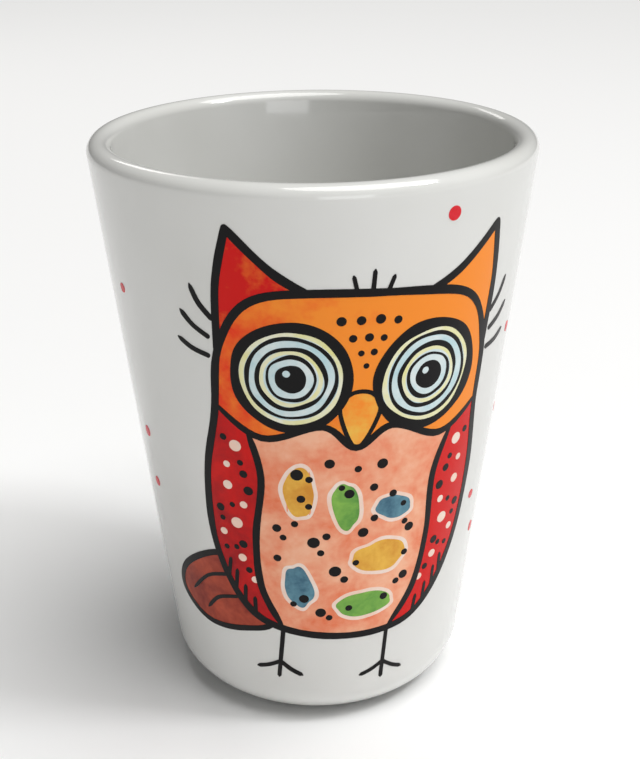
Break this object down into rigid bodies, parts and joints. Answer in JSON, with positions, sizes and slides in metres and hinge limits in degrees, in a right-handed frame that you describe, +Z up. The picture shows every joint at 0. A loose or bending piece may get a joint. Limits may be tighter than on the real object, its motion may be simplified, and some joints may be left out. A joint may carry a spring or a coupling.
{
  "type": "shot glass",
  "caption": "Small tapered white glazed ceramic shot cup with a full-round lip, a foot ring and a wrap-round printed folk-art owl.",
  "frame": {"origin": "centre of the foot ring, in the plane that the cup stands on", "axes": "+Z up along the cup's axis, the print faces -Y"},
  "size_m": [0.0446, 0.0446, 0.06],
  "materials": {
    "porcelain": "bare fired porcelain, matt",
    "glaze": "glossy white glaze",
    "black_ink": "fired ceramic ink, glossy, watercolour mottling",
    "orange_ink": "fired ceramic ink, glossy, watercolour mottling",
    "red_ink": "fired ceramic ink, glossy, watercolour mottling",
    "peach_ink": "fired ceramic ink, glossy, watercolour mottling",
    "yellow_ink": "fired ceramic ink, glossy, watercolour mottling",
    "green_ink": "fired ceramic ink, glossy, watercolour mottling",
    "blue_ink": "fired ceramic ink, glossy, watercolour mottling",
    "white_ink": "fired ceramic ink, glossy, watercolour mottling",
    "pale_blue_ink": "fired ceramic ink, glossy, watercolour mottling",
    "brown_ink": "fired ceramic ink, glossy, watercolour mottling",
    "pink_ink": "fired ceramic ink, glossy, watercolour mottling"
  },
  "bodies": {
    "root": {"porcelain_body": "porcelain", "glaze_coat": "glaze", "recess_glaze": "glaze", "print_black_lines": "black_ink", "print_head_orange": "orange_ink", "print_ears_red": "red_ink", "print_wings_red": "red_ink", "print_belly_peach": "peach_ink", "print_patches_yellow": "yellow_ink", "print_patches_green": "green_ink", "print_patches_blue": "blue_ink", "print_eye_whites": "white_ink", "print_eye_bands": "pale_blue_ink", "print_eye_rings": "black_ink", "print_pupils": "black_ink", "print_beak": "yellow_ink", "print_tail_brown": "brown_ink", "print_dots_black": "black_ink", "print_dots_white": "white_ink", "print_dots_pink": "pink_ink"}
  },
  "joints": []
}
